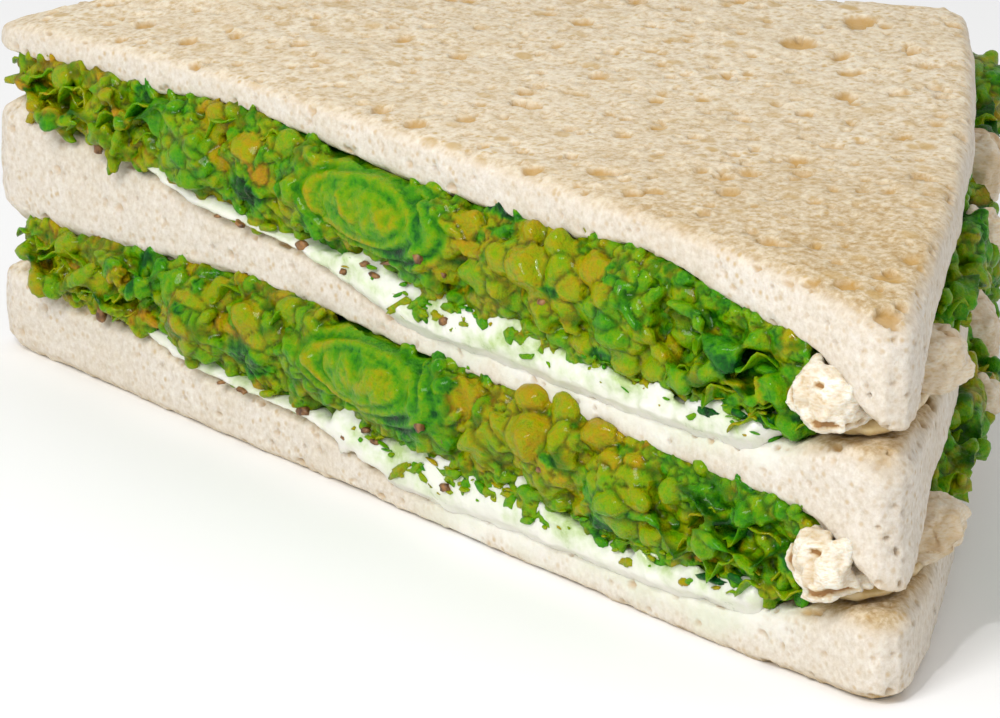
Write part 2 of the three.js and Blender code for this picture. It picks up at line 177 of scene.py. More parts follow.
# Ruffled leaf, as (side, from, to, rise between the slices, reach, ruffle). Legs count from the back corner.
LEAVES = (
    ("cut", -65, -52, 0.85, 1.5, 0.9), ("cut", -64, -50, 0.60, 1.7, 1.1), ("cut", -63, -46, 0.32, 1.6, 1.0),
    ("cut", -58, -42, 0.72, 1.9, 1.2), ("cut", -54, -40, 0.50, 1.8, 1.2), ("cut", -52, -41, 0.24, 1.5, 0.9),
    ("cut", -48, -37, 0.82, 2.0, 1.3),
    ("cut", -33, -24, 0.90, 2.2, 1.2), ("cut", -22, -15, 0.92, 1.8, 1.0),
    ("cut", 37, 56, 0.35, 2.2, 1.3), ("cut", 41, 57, 0.66, 1.9, 1.4), ("cut", 44, 58, 0.18, 1.8, 0.9),
    ("right", 0.02, 0.19, 0.60, 2.2, 1.3), ("right", 0.06, 0.22, 0.35, 1.6, 1.1),
    ("right", 0.31, 0.43, 0.45, 2.0, 1.2),
    ("right", 0.54, 0.76, 0.60, 1.6, 1.1), ("right", 0.58, 0.74, 0.35, 1.4, 1.0),
    ("left", 0.08, 0.24, 0.50, 2.2, 1.3), ("left", 0.12, 0.28, 0.30, 1.6, 1.1),
    ("left", 0.48, 0.64, 0.60, 2.2, 1.3), ("left", 0.45, 0.60, 0.35, 1.6, 1.2),
)
LEAF_THICKNESS = 0.34
LEAF_ROOT = 3.5
LEAF_STEP = 0.42
LEAF_TONE = 0.43
RUFFLE_LENGTH = 6.4

# Brown specks on the cut face, as (x, height, half length, half width, tilt). The lowest lie on mayonnaise.
SPECKS = (
    (7.8, 2.0, 0.75, 0.45, 0.3), (6.2, 8.6, 0.5, 0.7, 0.5), (0.2, 6.2, 1.9, 0.22, 0.35),
    (8.0, 7.3, 0.8, 0.25, -0.5), (23.6, 8.2, 0.5, 0.35, 0.0), (-5.0, 3.6, 0.6, 0.3, 0.2),
    (-3.4, 3.2, 0.7, 0.28, -0.1), (-7.9, 1.4, 0.4, 0.3, 0.0), (-24.6, 0.5, 0.7, 0.25, -0.2),
    (-28.4, 0.2, 0.5, 0.22, 0.3), (-48.6, 0.6, 0.6, 0.8, 0.1), (-15.0, 1.0, 0.9, 0.5, 0.2),
)
MAYO_TOP = 4

# Browned slits in the near piece of chicken, as (x and height from its middle, half sizes, lean)
SLITS = ((-2.5, 0.9, (0.55, 1.9), -0.25), (1.6, -1.7, (1.7, 0.5), 0.1), (0.8, 2.0, (0.7, 0.4), 0.3))

# Half size from which a lump gets the finer ball, how far round it the heap takes its number, and the rounds
# of averaging that find a hollow for its painted shade
FINE_LUMP = 1.6
LUMP_BOX = 1.6
LUMP_REACH = 1.7
HOLLOW_ROUNDS = 8

# Camera fitted to the photo, in degrees and millimetres
CAMERA_AZIMUTH = 49.6
CAMERA_ELEVATION = 19.4
CAMERA_DISTANCE = 718
CAMERA_ACROSS = -18.9
CAMERA_TARGET = Vector((2.55, -1.15, 9.2))
CAMERA_LENS = 252
SENSOR_WIDTH = 36

# Studio: lamps as (name, azimuth, elevation, distance and size in metres, power), and the floor
LAMPS = (("key", 18, 38, 0.62, 0.25, 1.8), ("sparkle", 32, 46, 0.62, 0.02, 0.6))
WORLD_STRENGTH = 0.70
FLOOR_HALF = 3000


# Noise on arrays of points, repeatable and without any image
def lattice(cell, seed):
    """A number from 0 to 1 for each whole-number point of cell, an array of shape (n, 3)."""
    mixed = cell[:, 0] * 374761393 + cell[:, 1] * 668265263 + cell[:, 2] * 1442695041 + seed * 97531177
    mixed &= 0xFFFFFFFF
    mixed = ((mixed ^ (mixed >> 13)) * 1274126177) & 0xFFFFFFFF
    mixed = ((mixed ^ (mixed >> 15)) * 1103515245) & 0xFFFFFFFF
    return (mixed ^ (mixed >> 16)) / 4294967296.0


def lattice_points(cell, seed):
    return cell + np.stack([lattice(cell, seed + k) for k in range(3)], axis=1)


def neighbours(cell):
    for step in np.ndindex(3, 3, 3):
        yield cell + np.array(step) - 1


def noise(points, size, seed):
    """Smooth noise from -1 to 1 with features about size across."""
    scaled = points / size
    cell = np.floor(scaled).astype(np.int64)
    part = scaled - cell
    fade = part * part * (3 - 2 * part)
    total = np.zeros(len(points))
    for corner in np.ndindex(2, 2, 2):
        corner = np.array(corner)
        weight = np.prod(np.where(corner == 1, fade, 1 - fade), axis=1)
        total += weight * lattice(cell + corner, seed)
    return 2 * total - 1


def layered_noise(points, size, seed, octaves=3):
    return sum(noise(points, size / 2 ** k, seed + k) / 2 ** k for k in range(octaves))


def warped(points, size, amount, seed):
    return points + amount * np.stack([noise(points, size, seed + k) for k in range(3)], axis=1)


def pit_depth(points, normals, population, seed):
    """How far each point of a surface moves in to reach the far wall of a bubble that it cuts open."""
    spacing, share, smallest, largest = population
    points = points / BUBBLE_STRETCH
    depth = np.zeros(len(points))
    for near in neighbours(np.floor(points / spacing).astype(np.int64)):
        radius = smallest + (largest - smallest) * lattice(near, seed + 3) ** 2
        radius[lattice(near, seed + 4) > share] = 0
        away = points - lattice_points(near, seed) * spacing
        along = np.einsum("ij,ij->i", away, normals)
        inside = radius ** 2 - np.einsum("ij,ij->i", away, away)
        reach = along + np.sqrt(np.maximum(inside + along ** 2, 0))
        depth = np.maximum(depth, np.where(inside > 0, reach, 0))
    return np.minimum(depth, DEEPEST_PIT)


def deepest_pits(points, normals, populations, seed):
    """The pit depths of several populations of bubbles together."""
    depth = np.zeros(len(points))
    for k, population in enumerate(populations):
        depth = np.maximum(depth, pit_depth(points, normals, population, seed + 10 * k))
    return depth


def smoothstep(low, high, value):
    """From 0 at low to 1 at high, which may be the smaller of the two."""
    t = np.clip((value - low) / (high - low), 0, 1)
    return t * t * (3 - 2 * t)


def bump_at(x, z, centre_x, centre_z, half_x, half_z):
    """1 at the middle of an ellipse, falling to 0 at its rim."""
    return np.clip(1 - ((x - centre_x) / half_x) ** 2 - ((z - centre_z) / half_z) ** 2, 0, 1)


# Places on the sides
def side_point(side, along, out):
    """A point in plan: along is x on the cut face, or the way from the back corner to a leg's tip."""
    if side == "cut":
        return np.array([along, CUT_Y - out])
    way = leg_way(side)
    across = np.array([-way[1], way[0]]) / np.linalg.norm(way)
    if side == "left":
        across = -across
    return BACK + way * along + across * (LEG_BULGE * 4 * along * (1 - along) + out)


def leg_way(side):
    return (NEAR_TIP if side == "right" else LEFT_TIP) - BACK


def outward(side):
    """Unit vector straight out of a side."""
    return np.array([*(side_point(side, 0, 1) - side_point(side, 0, 0)), 0])


def side_turn(side):
    if side == "cut":
        return 0.0
    way = leg_way(side)
    return math.atan2(way[1], way[0])


def solid_tree(name):
    points, faces = node_shape(name)
    return BVHTree.FromPolygons(points.tolist(), faces)


class Gap:
    """The room between the two slices of a layer, and the solids that fill it."""

    def __init__(self, layer):
        self.below, self.above = [solid_tree(name) for name in LAYERS[layer]]
        self.greens = solid_tree(f"greens_{layer}")
        self.mayonnaise = solid_tree(f"mayonnaise_{layer}")
        self.stations = np.arange(CUT_ENDS[0], CUT_ENDS[1] + 1)
        self.floor = [self.heights("cut", x)[0] for x in self.stations]

    def heights(self, side, along):
        """Heights of the slices below and above at a place, a little way in from the side."""
        if side == "cut":
            along = min(max(along, CUT_ENDS[0]), CUT_ENDS[1])
        else:
            along = max(along, LEG_START)
        x, y = side_point(side, along, -RIM_DEPTH)
        low = self.below.ray_cast(Vector((x, y, FAR)), Vector((0, 0, -1)))[0]
        high = self.above.ray_cast(Vector((x, y, -FAR)), Vector((0, 0, 1)))[0]
        return low.z, high.z

    def at(self, side, along, out, rise):
        """A point of a side by its share of the way up between the slices."""
        low, high = self.heights(side, along)
        return np.array([*side_point(side, along, out), low + rise * (high - low)])

    def skin(self, filling, side, place):
        """How far out of a side a filling's solid reaches at a place."""
        hit = filling.ray_cast(Vector(place + outward(side) * FAR), Vector(-outward(side)), 1.2 * FAR)
        if hit[0] is None:
            return MISSED
        return FAR - hit[3]

    def on_skin(self, filling, side, place, least, sunk):
        """The place moved out until it is sunk under the filling's skin, or least out of the side."""
        out = max(self.skin(filling, side, place) - sunk, least)
        return place + outward(side) * out

    def over(self, x, out, height):
        """A point of the cut face by its height over the slice below."""
        return np.array([x, CUT_Y - out, self.heights("cut", x)[0] + height])

    def height_of(self, points):
        """Heights of points of the cut face over the slice below."""
        return points[:, 2] - np.interp(points[:, 0], self.stations, self.floor)


# Meshes, in millimetres until they become pieces
def node_shape(name):
    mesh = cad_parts[name].data
    return mesh_points(mesh) / MM, [tuple(p.vertices) for p in mesh.polygons]


def mesh_points(mesh):
    points = np.empty(len(mesh.vertices) * 3)
    mesh.vertices.foreach_get("co", points)
    return points.reshape(-1, 3)


def joined(shapes):
    """Vertices and faces of several shapes as one."""
    vertices, faces, start = [], [], 0
    for points, polygons in shapes:
        vertices.append(np.asarray(points, float))
        faces += [tuple(start + i for i in polygon) for polygon in polygons]
        start += len(points)
    return np.concatenate(vertices), faces


def new_piece(name, shape):
    vertices, faces = shape
    mesh = bpy.data.meshes.new(name)
    mesh.from_pydata((np.asarray(vertices) * MM).tolist(), [], faces)
    piece = bpy.data.objects.new(name, mesh)
    bpy.context.scene.collection.objects.link(piece)
    return piece


def applied(piece):
    """Replaces a piece's mesh by what its modifiers make of it."""
    bpy.context.view_layer.update()
    graph = bpy.context.evaluated_depsgraph_get()
    mesh = bpy.data.meshes.new_from_object(piece.evaluated_get(graph))
    rough = piece.data
    piece.modifiers.clear()
    piece.data = mesh
    bpy.data.meshes.remove(rough)
    mesh.name = piece.name
    return piece


def dense(name, shapes, voxel, smoothing):
    """One fine even mesh of the union of closed shapes."""
    piece = new_piece(name, joined(shapes))
    remesh = piece.modifiers.new("even", "REMESH")
    remesh.mode = "VOXEL"
    remesh.voxel_size = voxel * MM
    smooth = piece.modifiers.new("soft", "SMOOTH")
    smooth.factor = 0.5
    smooth.iterations = smoothing
    return applied(piece)


def thinned(piece, share):
    """Leaves a share of a piece's triangles, most of them where it is uneven."""
    thin = piece.modifiers.new("thin", "DECIMATE")
    thin.ratio = share
    return applied(piece)


def surface(piece):
    """Points, in millimetres, and normals of a piece."""
    piece.data.update()
    normals = np.empty(len(piece.data.vertices) * 3)
    piece.data.vertex_normals.foreach_get("vector", normals)
    return mesh_points(piece.data) / MM, normals.reshape(-1, 3)


def place(piece, points):
    piece.data.vertices.foreach_set("co", np.ascontiguousarray(points * MM, np.float32).ravel())
    piece.data.update()


def blurred(piece, values, rounds):
    """Values at the vertices, averaged with their neighbours some rounds over."""
    edges = np.empty(len(piece.data.edges) * 2, np.int64)
    piece.data.edges.foreach_get("vertices", edges)
    a, b = edges.reshape(-1, 2).T
    count = np.maximum(np.bincount(np.concatenate([a, b]), minlength=len(values)), 1).astype(float)
    columns = np.asarray(values, float).reshape(len(values), -1)
    for _ in range(rounds):
        total = np.stack([np.bincount(a, column[b], len(columns)) + np.bincount(b, column[a], len(columns))
                          for column in columns.T], axis=1)
        columns = 0.5 * columns + 0.5 * total / count[:, None]
    return columns.reshape(np.shape(values))


def painted_hollow_shade(piece, per_mm, most):
    """Painted shade: how dark each point is for lying deeper than its surroundings."""
    points, normals = surface(piece)
    height = np.einsum("ij,ij->i", points - blurred(piece, points, HOLLOW_ROUNDS), normals)
    return np.clip(-per_mm * height, 0, most)


def attribute(piece, name, values):
    """Stores a number at each vertex, for the materials."""
    layer = piece.data.attributes.new(name, "FLOAT", "POINT")
    layer.data.foreach_set("value", np.ascontiguousarray(values, np.float32))


def finish_piece(piece, slot, *nodes, material=None):
    """Gives a piece the material of its slot, smooth shading and the root body, and hides the nodes that it
    replaces.
    """
    piece.data.materials.clear()
    piece.data.materials.append(MATERIALS[material or slot])
    piece.data.polygons.foreach_set("use_smooth", [True] * len(piece.data.polygons))
    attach(piece, "root")
    if nodes:
        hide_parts(*nodes)
    return piece


# Lumps
def unit_ball(subdivisions):
    work = bmesh.new()
    bmesh.ops.create_icosphere(work, subdivisions=subdivisions, radius=1)
    work.verts.index_update()
    points = np.array([v.co for v in work.verts])
    faces = [tuple(v.index for v in f.verts) for f in work.faces]
    work.free()
    return points, faces


def turning(turn, tilt):
    """A matrix that, as points @ matrix, tilts points in the plane of a side and turns them to that side."""
    c, s = math.cos(tilt), math.sin(tilt)
    lean = np.array([[c, 0, s], [0, 1, 0], [-s, 0, c]])
    c, s = math.cos(turn), math.sin(turn)
    return lean @ np.array([[c, s, 0], [-s, c, 0], [0, 0, 1]])


def faceted(points, count, random):
    """A ball with flat faces cut on it."""
    for normal in random.normal(size=(count, 3)):
        normal /= np.linalg.norm(normal)
        over = np.maximum(points @ normal - random.uniform(0.5, 0.85), 0)
        points = points - over[:, None] * normal
    return points


class Lump:
    """A closed uneven lump with a tone. Its size is half its length along the side, depth and height."""

    def __init__(self, centre, size, turn=0.0, tilt=0.0, tone=0.5):
        self.centre = np.asarray(centre, float)
        self.size = np.asarray(size, float)
        self.matrix = turning(turn, tilt)
        self.tone = tone

    def shape(self, random, facets, blockiness, roughness):
        """Its mesh. A blockiness under 1 flattens its sides."""
        points, faces = FINE_BALL if self.size.max() > FINE_LUMP else BALL
        points = np.sign(points) * np.abs(points) ** blockiness
        points = faceted(points, facets, random) * (1 + roughness * random.uniform(-1, 1, (len(points), 1)))
        return points * self.size @ self.matrix + self.centre, faces

    def nearness(self, points):
        """Under 1 for points inside its ellipsoid and over 1 outside."""
        return np.linalg.norm((points - self.centre) @ self.matrix.T / self.size, axis=1)


def patchwork(points, lumps):
    """For points on a heap, the number of the nearest lump, or -1, and 0 to 1 for lying in a crevice."""
    first = np.full(len(points), float(FAR))
    second = np.full(len(points), float(FAR))
    number = np.full(len(points), -1)
    for k, lump in enumerate(lumps):
        near = np.flatnonzero(np.abs(points - lump.centre).max(axis=1) < LUMP_BOX * lump.size.max())
        away = lump.nearness(points[near])
        closer = away < first[near]
        second[near] = np.where(closer, first[near], np.minimum(second[near], away))
        number[near] = np.where(closer & (away < LUMP_REACH), k, number[near])
        first[near] = np.minimum(first[near], away)
    border = 1 - smoothstep(0.02, 0.30, second - first)
    return number, np.maximum(0.8 * border, smoothstep(1.1, 1.6, first))


# Bread
def bread_slice(node, seed, gap):
    """A slice, soaked with mayonnaise where a gap lies above it."""
    piece = dense(node + "_crumb", [node_shape(node)], BREAD_VOXEL, 4)
    points, normals = surface(piece)
    soft = blurred(piece, normals, 6)
    soft /= np.linalg.norm(soft, axis=1)[:, None]
    broad = smoothstep(0.5, 0.85, np.abs(soft[:, 2]))
    waves = 0.22 * noise(points, 12, seed) + 0.10 * noise(points, 3.5, seed + 1)
    points = points + soft * waves[:, None]
    holes = deepest_pits(points, soft, BUBBLES, seed)
    pores = deepest_pits(points, soft, PORES, seed + 5)
    depth = broad * holes + (1 - broad) * pores
    web = layered_noise(points, 1.3, seed + 40)
    walls = 0.08 * web
    flaps = 0.20 * smoothstep(0.45, 0.8, noise(points, 1.2, seed + 50)) * broad
    points = points - soft * (depth - walls - flaps)[:, None]
    points[:, 2] = np.maximum(points[:, 2], 0)
    place(piece, points)
    near = np.linalg.norm(points[:, :2] - NEAR_TIP, axis=1)
    attribute(piece, "broad", blurred(piece, broad, 14))
    attribute(piece, "pit", smoothstep(0.04, 0.40, depth))
    attribute(piece, "relief", 0.5 + 0.5 * web + 0.4 * flaps)
    attribute(piece, "brown", 1 - smoothstep(0, BROWN_REACH, near))
    attribute(piece, "soaked", soaked(points, gap, seed + 60) if gap else np.zeros(len(points)))
    return finish_piece(thinned(piece, BREAD_KEPT), "bread", node)


def soaked(points, gap, seed):
    """0 to 1 for how much mayonnaise soaks the edge of the slice under it."""
    low, high = SOAKED
    along = smoothstep(low - 8, low + 4, points[:, 0]) * smoothstep(high + 3, high - 5, points[:, 0])
    front = smoothstep(3.0, 1.2, points[:, 1] - CUT_Y)
    height = gap.height_of(points) + 1.6 * layered_noise(points, 3.5, seed, 2)
    return along * front * smoothstep(-4.5, -0.6, height)


# Filling
def in_swirl(x, height):
    """Whether a place of the cut face lies where the swirl is kept free."""
    across = (x - SWIRL[0]) / SWIRL[2]
    up = (height - SWIRL[1]) / SWIRL[3]
    return across ** 2 + up ** 2 < SWIRL_FREE ** 2


def covered(place_in, chunks):
    """Whether a place of the cut face lies in front of one of the chunks."""
    for chunk in chunks:
        beside = np.array([[place_in[0], chunk.centre[1], place_in[2]]])
        if chunk.nearness(beside)[0] < 1:
            return True
    return False


def usual_tone(side, along):
    return np.interp(along, *zip(*TONES)) if side == "cut" else LEG_TONE


def strewn(gap, side, count, along, rise, out, size, chunks, random):
    """Lumps of avocado strewn over a stretch of a side, some of them shreds, clear of the chunks."""
    lumps = []
    while len(lumps) < count:
        place_in = gap.at(side, random.uniform(*along), 0, random.uniform(*rise))
        height = gap.height_of(place_in[None])[0]
        if side == "cut" and (in_swirl(place_in[0], height) or covered(place_in, chunks)):
            continue
        half = size * random.uniform(0.5, 1.2) * random.uniform(0.75, 1.2, 3) * [1.2, 0.85, 0.95]
        if random.uniform() < SHRED_SHARE:
            half *= SHRED
        least = random.uniform(*out) - half[1] * 0.6
        centre = gap.on_skin(gap.greens, side, place_in, least, half[1] * random.uniform(0.3, 0.7))
        tone = usual_tone(side, centre[0]) + random.normal(0, 0.10)
        tone += AMBER_TONE * (random.uniform() < AMBER_SHARE)
        lumps.append(Lump(centre, half, side_turn(side), random.normal(0, 0.6), tone))
    return lumps


def backing(gap, random):
    """Lumps that close the holes of the heap on the cut face."""
    lumps = []
    for x in BACKING_ALONG:
        for rise in BACKING_RISE:
            place_in = gap.at("cut", x, 0, rise)
            if gap.skin(gap.greens, "cut", place_in) > -BACKING_DEPTH:
                continue
            centre = gap.on_skin(gap.greens, "cut", place_in, -BACKING_DEPTH - 0.6, 0)
            half = random.uniform(1.2, 1.9, 3)
            # Backing lumps lie deeper in the heap; their darker tone is painted shade
            tone = usual_tone("cut", x) - 0.1 + random.normal(0, 0.06)
            lumps.append(Lump(centre, half, 0, 0, tone))
    return lumps


def smears(gap, random):
    """Small flat lumps of avocado that lie on the mayonnaise, most of them near the heap."""
    lumps = []
    for _ in range(SMEARS):
        place_in = gap.over(random.uniform(3, 54), 0, random.triangular(1.0, 4.8, 4.8))
        half = np.array([random.uniform(0.5, 1.7), 0.5, random.uniform(0.3, 0.6)])
        centre = gap.on_skin(gap.mayonnaise, "cut", place_in, 0.5, 0.1)
        tone = usual_tone("cut", centre[0]) + random.normal(0, 0.12)
        lumps.append(Lump(centre, half, 0, random.normal(-0.05, 0.3), tone))
    return lumps


def swirled(points, low, seed):
    """Relief and tone of the smooth swirl: a rim folded round an uneven middle."""
    across = (points[:, 0] - SWIRL[0] + 1.5) / SWIRL[2]
    up = (points[:, 2] - low - SWIRL[1]) / SWIRL[3]
    ring = np.hypot(across, up) + 0.05 * noise(points, 2.5, seed)
    fold = np.sin(ring * 30 + 1.4 * noise(points, 4, seed + 1))
    rim = smoothstep(0.42, 0.60, ring)
    grain = layered_noise(warped(points, 1.6, 0.5, seed + 3), 1.4, seed + 2, 3)
    edge = np.exp(-((ring - 0.60) / 0.07) ** 2) * smoothstep(0.4, -0.4, across)
    relief = (0.24 * fold + 0.12 * grain) * rim + 0.36 * grain * (1 - rim) + 0.35 * edge
    tone = 0.50 + (0.13 * fold + 0.06 * grain) * rim + 0.17 * grain * (1 - rim)
    tone -= 0.12 * smoothstep(0.1, 0.6, across) * rim
    streak = np.exp(-((ring - 0.62) / 0.05) ** 2) * smoothstep(0.2, -0.4, across + 0.6 * up)
    return relief, tone + 0.22 * streak


def greens(layer, gap, seed):
    """Crushed avocado: chunks and strewn lumps joined to the heap's solid, round a smooth swirl."""
    random = np.random.default_rng(seed)
    node = f"greens_{layer}"
    chunks = []
    for x, height, size, tilt, tone in CHUNKS:
        centre = gap.on_skin(gap.greens, "cut", gap.over(x, 0, height), 0.8 - size[1] * 0.4, size[1] * 0.2)
        chunks.append(Lump(centre, size, 0, tilt, tone))
    lumps = chunks + smears(gap, random) + backing(gap, random)
    for side, count, along, rise, out, size in STREWN:
        lumps += strewn(gap, side, count, along, rise, out, size, chunks, random)
    shapes = [node_shape(node)] + [lump.shape(random, 8, 0.85, 0.03) for lump in chunks]
    shapes += [lump.shape(random, 9, 0.85, 0.08) for lump in lumps[len(chunks):]]
    piece = dense(node + "_mash", shapes, GREENS_VOXEL, 1)
    points, normals = surface(piece)
    low = gap.heights("cut", SWIRL[0])[0]
    front = smoothstep(4, 2, points[:, 1] - CUT_Y)
    swirl = bump_at(points[:, 0], points[:, 2], SWIRL[0], low + SWIRL[1], SWIRL[2], SWIRL[3] * 1.1)
    swirl = front * smoothstep(0, 0.25, swirl)
    number, crevice = patchwork(points, lumps)
    whole = blurred(piece, (number >= 0) & (number < len(chunks)), 3)
    bent = warped(points, 2.0, 0.6, seed)
    relief = 0.10 - 0.20 * crevice + 0.21 * (1 - 0.7 * whole) * layered_noise(bent, 1.4, seed + 9)
    swirl_relief, swirl_tone = swirled(points, low, seed + 60)
    place(piece, points + normals * (relief * (1 - swirl) + swirl_relief * swirl)[:, None])
    # Points between lumps take the darker tone of painted shade
    tone = np.array([lump.tone for lump in lumps] + [GAP_SHADE_TONE])[number]
    tone += 0.10 * (1 - 0.5 * whole) * noise(bent, 1.1, seed + 20) + 0.08 * noise(points, 5, seed + 21)
    # The spots add the avocado's own tone and painted shade in hollows and creases
    tone = tone * (1 - swirl) + swirl_tone * swirl + spot_tones_and_shade(points, gap)
    attribute(piece, "tone", np.clip(tone, 0, 1))
    # crevice: painted shade, darker in the crevices between lumps and in hollows
    attribute(piece, "crevice", np.clip(crevice * (1 - swirl) * 0.8 + painted_hollow_shade(piece, 1.8, 0.8), 0, 1))
    return finish_piece(thinned(piece, GREENS_KEPT), "avocado_greens", node)


def spot_tones_and_shade(points, gap):
    """Change of tone at points of the cut face: the avocado's own tone, and painted shade where the spots
    darken it.
    """
    front = smoothstep(4, 2, points[:, 1] - CUT_Y)
    total = np.zeros(len(points))
    for x, height, (half_x, half_z), change in TONE_AND_SHADE_SPOTS:
        local = gap.heights("cut", x)[0] + height
        spot = bump_at(points[:, 0], points[:, 2], x, local, half_x, half_z)
        total += front * change * smoothstep(0, 0.6, spot)
    return total


def leaf_sheet(gap, side, start, end, rise, reach, ruffle, random):
    """One ruffled leaf edge as a closed thin sheet, with a tone at each of its points."""
    length = np.linalg.norm(side_point(side, end, 0) - side_point(side, start, 0))
    steps = max(8, int(length / LEAF_STEP))
    rows = max(6, int((LEAF_ROOT + reach) / LEAF_STEP))
    phase = random.uniform(0, 2 * math.pi, 4)
    under, over, tones = [], [], []
    for i in range(steps + 1):
        t = i / steps
        along = start + (end - start) * t
        turn = 2 * math.pi * length * t
        taper = math.sin(math.pi * (0.06 + 0.88 * t)) ** 0.45
        lobe = 0.78 + 0.16 * math.sin(turn / 4.7 + phase[2]) + 0.10 * math.sin(turn / 1.9 + phase[3])
        base = gap.at(side, along, 0, rise)
        for j in range(rows + 1):
            way = j / rows
            wave = math.sin(turn / RUFFLE_LENGTH + phase[0])
            wave += 0.45 * way * math.sin(2.6 * turn / RUFFLE_LENGTH + phase[1])
            out = -LEAF_ROOT + (LEAF_ROOT + reach * lobe) * way * taper
            out += 0.5 * ruffle * way ** 2 * math.cos(turn / RUFFLE_LENGTH + phase[0])
            point = np.array([*side_point(side, along, out), base[2] + ruffle * taper * wave * way ** 1.5])
            half = np.array([0, 0, LEAF_THICKNESS / 2 * (1 - 0.4 * way)])
            under.append(point - half)
            over.append(point + half)
            # The tone rises towards the leaf's outer edge: the darker root, deep in the heap, is painted
            # shade
            tones.append(LEAF_TONE + 0.20 * way ** 3 + 0.08 * math.sin(turn / 9 + phase[1]))
    return (*closed_sheet(under, over, steps, rows), np.array(tones + tones))


def closed_sheet(under, over, steps, rows):
    """A closed sheet from its two faces, each a grid."""
    across = rows + 1
    shift = (steps + 1) * across
    faces = []
    for i in range(steps):
        for j in range(rows):
            a = i * across + j
            b = a + across
            faces += [(a, a + 1, b + 1, b), (a + shift, b + shift, b + 1 + shift, a + 1 + shift)]
        root, tip = i * across, i * across + rows
        faces += [(root, root + across, root + across + shift, root + shift),
                  (tip, tip + shift, tip + across + shift, tip + across)]
    last = steps * across
    for j in range(rows):
        faces += [(j, j + shift, j + 1 + shift, j + 1),
                  (last + j, last + j + 1, last + j + 1 + shift, last + j + shift)]
    return np.array(under + over), faces


def leaves(layer, gap, seed):
    random = np.random.default_rng(seed)
    made = [leaf_sheet(gap, *leaf, random) for leaf in LEAVES]
    piece = new_piece(f"leaf_{layer}", joined([(points, faces) for points, faces, _ in made]))
    work = bmesh.new()
    work.from_mesh(piece.data)
    bmesh.ops.recalc_face_normals(work, faces=work.faces)
    work.to_mesh(piece.data)
    work.free()
    points, _ = surface(piece)
    tone = np.concatenate([tones for _, _, tones in made]) + spot_tones_and_shade(points, gap) + 0.12 * noise(points, 3, seed)
    attribute(piece, "tone", np.clip(tone, 0, 1))
    return finish_piece(piece, "avocado_greens")


def mayonnaise(layer, gap, seed):
    """The spread's solid with lumps along its lip, behind that, and in the slice's rounded edge."""
    random = np.random.default_rng(seed)
    node = f"mayonnaise_{layer}"
    shapes = [node_shape(node)]
    for _ in range(LIP_LUMPS):
        x = random.uniform(-12, 50)
        size = (random.uniform(0.9, 2.8), random.uniform(0.4, 0.7), random.uniform(0.3, 0.9))
        centre = gap.over(x, random.uniform(0.2, 0.8), random.uniform(0.5, 2.9))
        shapes.append(Lump(centre, size, 0, random.normal(0, 0.3)).shape(random, 3, 1, 0.06))
    for _ in range(BODY_LUMPS):
        x = random.uniform(-10, 24)
        size = (random.uniform(1.2, 2.4), 1.2, random.uniform(0.7, 1.3))
        centre = gap.over(x, random.uniform(-1.6, -0.6), random.uniform(2.6, 5.0))
        shapes.append(Lump(centre, size, 0, random.normal(0, 0.3)).shape(random, 3, 1, 0.05))
    for x in FILLET:
        centre = gap.over(x, random.uniform(-0.95, -0.8), random.uniform(-0.55, -0.1))
        shapes.append(Lump(centre, (1.8, 0.9, 0.85)).shape(random, 0, 1, 0.02))
    piece = dense(node + "_spread", shapes, MAYO_VOXEL, 5)
    points, normals = surface(piece)
    relief = 0.04 + 0.15 * noise(points, 3.2, seed) + 0.14 * layered_noise(points, 1.5, seed + 1, 2)
    place(piece, points + normals * relief[:, None])
    height = gap.height_of(points) + 0.8 * noise(points, 3, seed + 2)
    attribute(piece, "thin", 1 - smoothstep(-0.4, 2.2, height))
    attribute(piece, "ochre", smoothstep(*OCHRE, points[:, 0]))
    return finish_piece(thinned(piece, MAYO_KEPT), "mayonnaise", node)


def chips(layer, gap, seed):
    """Chips and flecks of avocado on the mayonnaise."""
    random = np.random.default_rng(seed)
    lumps = []
    for x, height, size, tilt, tone in CHIPS:
        centre = gap.on_skin(gap.mayonnaise, "cut", gap.over(x, 0, height), 0.9, 0)
        lumps.append(Lump(centre, size, 0, tilt, tone))
    for _ in range(FLECKS):
        size = (random.uniform(0.15, 1.0), 0.28, random.uniform(0.1, 0.28))
        place_in = gap.over(random.uniform(-8, 54), 0, random.triangular(0.4, 4.2, 4.2))
        centre = gap.on_skin(gap.mayonnaise, "cut", place_in, 0.85, 0.05)
        lumps.append(Lump(centre, size, 0, random.normal(0.05, 0.25), random.uniform(0.3, 0.85)))
    shapes = [lump.shape(random, 5, 0.8, 0.15) for lump in lumps]
    piece = new_piece(f"avocado_chips_{layer}", joined(shapes))
    attribute(piece, "tone", np.repeat([lump.tone for lump in lumps], [len(points) for points, _ in shapes]))
    return finish_piece(piece, "avocado_greens")


def specks(layer, gap, seed):
    """Small browned bits on the cut face."""
    random = np.random.default_rng(seed)
    lumps = []
    for x, height, length, width, tilt in SPECKS:
        filling = gap.mayonnaise if height < MAYO_TOP else gap.greens
        centre = gap.on_skin(filling, "cut", gap.over(x, 0, height), 0.7, 0)
        lumps.append(Lump(centre, (length, 0.45, width), 0, tilt))
    shapes = [lump.shape(random, 0, 0.8, 0.2) for lump in lumps]
    return finish_piece(new_piece(f"browned_bits_{layer}", joined(shapes)), "chicken", material="browned")


def slit(points, middle):
    """1 in the browned slits on the front of the near piece of chicken, falling to 0 round them."""
    away = points - middle
    total = np.zeros(len(points))
    for x, height, (half_x, half_z), lean in SLITS:
        across = away[:, 0] - lean * (away[:, 2] - height)
        total = np.maximum(total, smoothstep(0, 0.5, bump_at(across, away[:, 2], x, height, half_x, half_z)))
    return total * (away[:, 1] < 0)


